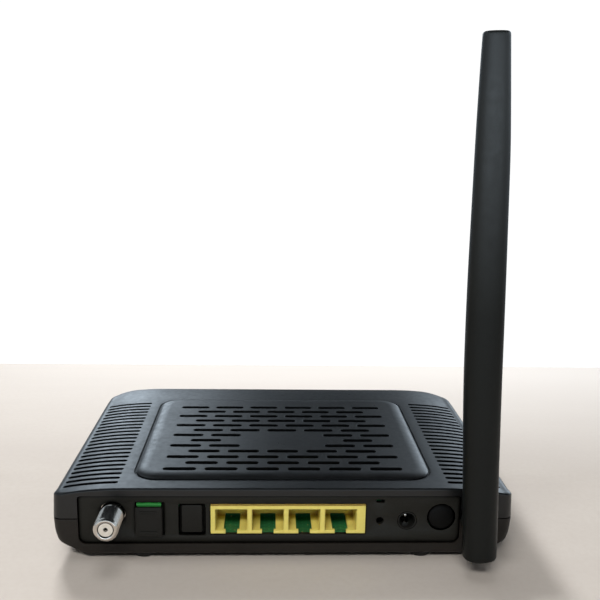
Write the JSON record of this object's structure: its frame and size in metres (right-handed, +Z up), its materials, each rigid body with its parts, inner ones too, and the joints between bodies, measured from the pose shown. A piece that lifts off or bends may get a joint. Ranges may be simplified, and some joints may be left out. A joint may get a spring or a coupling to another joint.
{
  "type": "cable modem",
  "caption": "Flat desktop cable modem and router with a vented black case, coaxial, optical, network and power connectors on the rear, and a folding paddle antenna.",
  "frame": {"origin": "on the table plane, under the middle of the whole object in x and y, the upright antenna included; the rear (connector) face is 53.3 mm from it towards -Y", "axes": "+Z up from the table; -Y out of the connector face; +Y towards the indicator edge; +X to the right when facing the connectors"},
  "size_m": [0.1764, 0.1413, 0.1949],
  "materials": {
    "cover_plastic": "fine moulded grain, blue-grey black",
    "case_plastic": "fine moulded grain",
    "panel_plastic": "fine moulded grain",
    "rubber": "dull",
    "screw_steel": "zinc plated",
    "circuit_board": "green solder mask",
    "nickel": "bright nickel plate",
    "white_insulator": "satin",
    "gold_contact": "gold plated",
    "tinned_steel": "tinned sheet",
    "green_plastic": "satin",
    "ceramic_sleeve": "ground",
    "plug_plastic": "satin",
    "transceiver_metal": "satin",
    "fibre_jacket": "satin",
    "yellow_plastic": "satin",
    "chip_black": "epoxy moulding",
    "button_plastic": "satin",
    "heatsink_aluminium": "extruded",
    "capacitor_sleeve": "heat-shrink sleeve",
    "ferrite": "sintered",
    "clear_plastic": "moulded clear",
    "cable_black": "jacket",
    "antenna_plastic": "fine moulded grain"
  },
  "bodies": {
    "case": {"top_cover": "cover_plastic", "bottom_case": "case_plastic", "rear_panel": "panel_plastic", "foot_rear_left": "rubber", "foot_rear_right": "rubber", "foot_front_left": "rubber", "foot_front_right": "rubber", "case_screw_rear_left": "screw_steel", "case_screw_rear_right": "screw_steel", "case_screw_front_left": "screw_steel", "case_screw_front_right": "screw_steel", "main_board": "circuit_board", "board_screw_left": "screw_steel", "board_screw_right": "screw_steel", "coax_connector_shell": "nickel", "coax_insulator": "white_insulator", "coax_centre_contact": "gold_contact", "tuner_shield_can": "tinned_steel", "optical_adapter": "green_plastic", "optical_sleeve": "ceramic_sleeve", "optical_transceiver": "transceiver_metal", "fibre_pigtail": "fibre_jacket", "phone_port_blank": "plug_plastic", "lan_jack_housing": "yellow_plastic", "lan_contacts_1": "gold_contact", "lan_contacts_2": "gold_contact", "lan_contacts_3": "gold_contact", "lan_contacts_4": "gold_contact", "lan_transformer_left": "chip_black", "lan_transformer_right": "chip_black", "reset_switch": "chip_black", "dc_jack_housing": "plug_plastic", "dc_jack_pin": "nickel", "dc_jack_spring": "nickel", "power_switch_body": "chip_black", "processor_chip": "chip_black", "processor_heatsink": "heatsink_aluminium", "memory_chip": "chip_black", "radio_shield_can": "tinned_steel", "capacitor_inlet": "capacitor_sleeve", "capacitor_regulator": "capacitor_sleeve", "inductor": "ferrite", "indicator_light_guide": "clear_plastic", "antenna_lead": "cable_black"},
    "antenna_base": {"antenna_hub": "antenna_plastic"},
    "antenna_arm": {"antenna_blade": "antenna_plastic", "antenna_pin": "screw_steel", "antenna_radiator": "circuit_board", "antenna_coax": "cable_black"},
    "power_button": {"power_button": "button_plastic"},
    "reset_button": {"reset_button": "button_plastic"},
    "dust_plug": {"optical_dust_plug": "plug_plastic"}
  },
  "joints": [
    {"name": "antenna_swivel", "type": "hinge", "parent": "case", "child": "antenna_base", "pos_m": [0.0725, -0.0533, 0.017], "axis": [0, 1, 0], "range_deg": [-78, 92]},
    {"name": "antenna_fold", "type": "hinge", "parent": "antenna_base", "child": "antenna_arm", "pos_m": [0.0725, -0.0653, 0.017], "axis": [0.9994, 0, 0.0349], "range_deg": [0, 90]},
    {"name": "power_button_press", "type": "slide", "parent": "case", "child": "power_button", "axis": [0, 1, 0], "range_m": [0, 0.002]},
    {"name": "reset_button_press", "type": "slide", "parent": "case", "child": "reset_button", "axis": [0, 1, 0], "range_m": [0, 0.0004]},
    {"name": "dust_plug_pull", "type": "slide", "parent": "case", "child": "dust_plug", "axis": [0, -1, 0], "range_m": [0, 0.012]}
  ]
}
